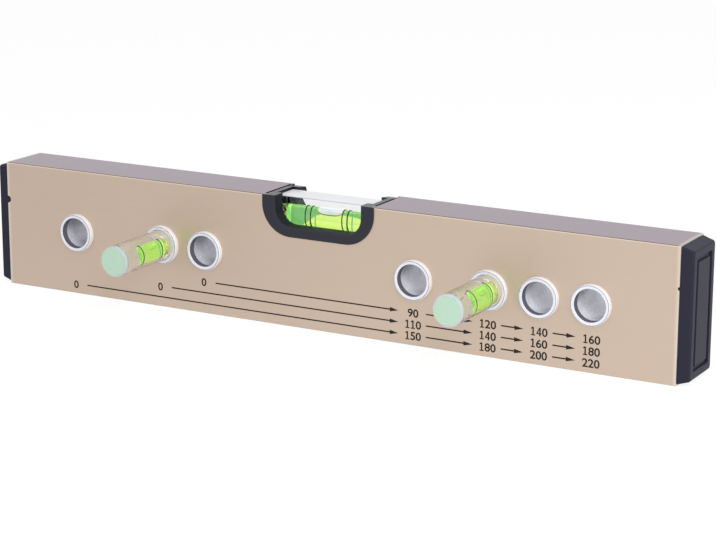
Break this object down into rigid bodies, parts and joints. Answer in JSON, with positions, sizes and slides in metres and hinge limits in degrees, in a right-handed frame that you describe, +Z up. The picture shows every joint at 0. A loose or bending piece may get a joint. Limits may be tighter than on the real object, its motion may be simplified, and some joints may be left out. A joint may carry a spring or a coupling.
{
  "type": "electrician's level",
  "caption": "Box-section aluminium level with a block vial in its top edge, plastic end caps, a row of lined marking holes and clear plug-in pins with small vials.",
  "frame": {"origin": "middle of the measuring base, on the bottom face", "axes": "+X along the level to the right as the scale is read, +Y from the printed front to the back, +Z up"},
  "size_m": [0.2954, 0.0545, 0.05],
  "materials": {
    "anodised_aluminium": "satin anodised, pale champagne, bright where cut",
    "cap_plastic": "moulded, dark blue-grey, faint grain",
    "frame_plastic": "moulded, dark blue-grey, smooth satin",
    "clear_acrylic": "clear, polished",
    "vial_plug": "translucent, moulded",
    "marking_black": "printed line",
    "vial_liquid": "clear fluorescent yellow-green liquid",
    "vial_bubble": "air",
    "bright_sleeve": "bright turned metal",
    "grip_rubber": "matte rubber",
    "pin_front": "translucent pale mint, satin face",
    "pin_rear": "translucent, moulded"
  },
  "bodies": {
    "level": {"profile": "anodised_aluminium", "end_cap_left": "cap_plastic", "end_cap_right": "cap_plastic", "vial_frame": "frame_plastic", "level_vial_block": "clear_acrylic", "level_vial_plug": "vial_plug", "level_vial_rings": "marking_black", "level_vial_liquid": "vial_liquid", "sleeve_1": "bright_sleeve", "sleeve_2": "bright_sleeve", "sleeve_3": "bright_sleeve", "sleeve_4": "bright_sleeve", "sleeve_5": "bright_sleeve", "sleeve_6": "bright_sleeve", "sleeve_7": "bright_sleeve", "grip_ring_1": "grip_rubber", "grip_ring_3": "grip_rubber", "grip_ring_4": "grip_rubber", "grip_ring_6": "grip_rubber", "grip_ring_7": "grip_rubber"},
    "level_bubble": {"level_vial_bubble": "vial_bubble"},
    "grip_left": {"grip_ring_2": "grip_rubber"},
    "pin_left": {"pin_left_rod": "clear_acrylic", "pin_left_front_plug": "pin_front", "pin_left_rear_plug": "pin_rear", "pin_left_vial": "clear_acrylic", "pin_left_stopper": "vial_plug", "pin_left_rings": "marking_black", "pin_left_liquid": "vial_liquid"},
    "pin_left_bubble": {"pin_left_bubble": "vial_bubble"},
    "grip_right": {"grip_ring_5": "grip_rubber"},
    "pin_right": {"pin_right_rod": "clear_acrylic", "pin_right_front_plug": "pin_front", "pin_right_rear_plug": "pin_rear", "pin_right_vial": "clear_acrylic", "pin_right_stopper": "vial_plug", "pin_right_rings": "marking_black", "pin_right_liquid": "vial_liquid"},
    "pin_right_bubble": {"pin_right_bubble": "vial_bubble"}
  },
  "joints": [
    {"name": "level_bubble_travel", "type": "slide", "parent": "level", "child": "level_bubble", "axis": [1, 0, 0], "range_m": [-0.012, 0.0105], "stiffness_N_per_m": 0.5, "deforming": ["level_vial_liquid"]},
    {"name": "pin_left_turn", "type": "hinge", "parent": "level", "child": "grip_left", "pos_m": [-0.069, -0.011, 0.025], "axis": [0, -1, 0], "continuous": true},
    {"name": "pin_left_slide", "type": "slide", "parent": "grip_left", "child": "pin_left", "axis": [0, -1, 0], "range_m": [-0.0305, 0.03]},
    {"name": "pin_left_bubble_travel", "type": "slide", "parent": "pin_left", "child": "pin_left_bubble", "axis": [0, 1, 0], "range_m": [-0.0045, 0.0045], "stiffness_N_per_m": 0.1, "deforming": ["pin_left_liquid"]},
    {"name": "pin_right_turn", "type": "hinge", "parent": "level", "child": "grip_right", "pos_m": [0.071, -0.011, 0.025], "axis": [0, -1, 0], "continuous": true},
    {"name": "pin_right_slide", "type": "slide", "parent": "grip_right", "child": "pin_right", "axis": [0, -1, 0], "range_m": [-0.0305, 0.03]},
    {"name": "pin_right_bubble_travel", "type": "slide", "parent": "pin_right", "child": "pin_right_bubble", "axis": [0, 1, 0], "range_m": [-0.0045, 0.0045], "stiffness_N_per_m": 0.1, "deforming": ["pin_right_liquid"]}
  ]
}
